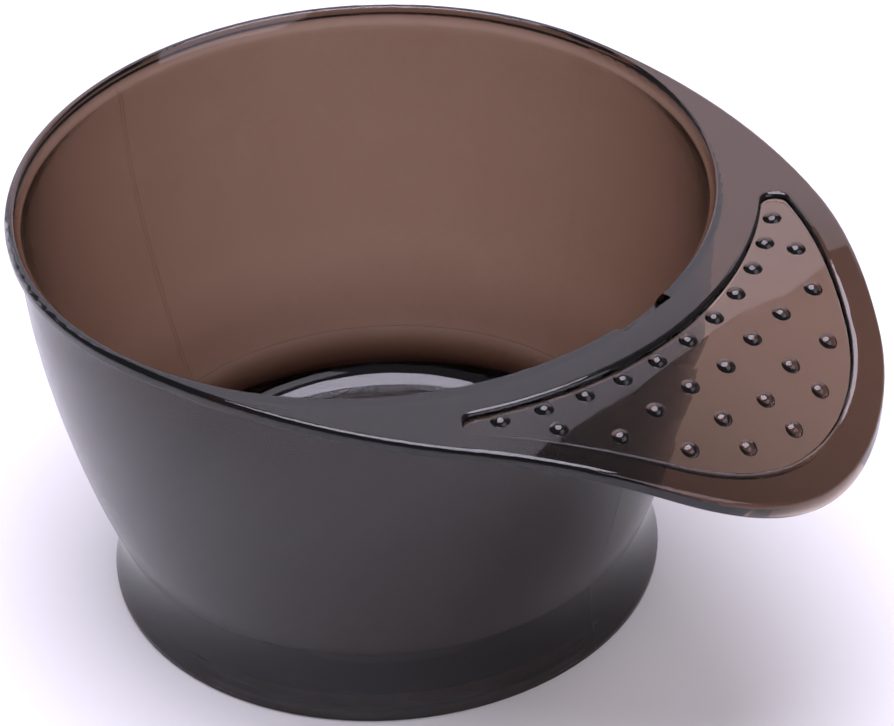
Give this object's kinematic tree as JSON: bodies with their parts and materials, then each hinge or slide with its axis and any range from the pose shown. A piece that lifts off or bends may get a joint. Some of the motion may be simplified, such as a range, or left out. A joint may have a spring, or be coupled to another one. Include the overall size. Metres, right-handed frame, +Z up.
{
  "type": "hair colour mixing bowl",
  "caption": "Smoked see-through mixing bowl for hair colour, with a drooping thumb wing, a recessed studded grip, a flared foot and a soft ring that it stands on.",
  "frame": {"origin": "on the bowl's axis, in the plane that the bowl stands on", "axes": "+Z up along the bowl's axis, +X towards the tip of the wing; the XZ plane is the plane of symmetry"},
  "size_m": [0.171, 0.13, 0.082],
  "materials": {
    "shell_smoke": "satin wall; polished rim, wing, foot and inside floor; smoked brown and see-through, almost black where walls stack up",
    "soft_ring": "matt"
  },
  "bodies": {
    "root": {"bowl_shell": "shell_smoke", "non_slip_ring": "soft_ring"}
  },
  "joints": []
}
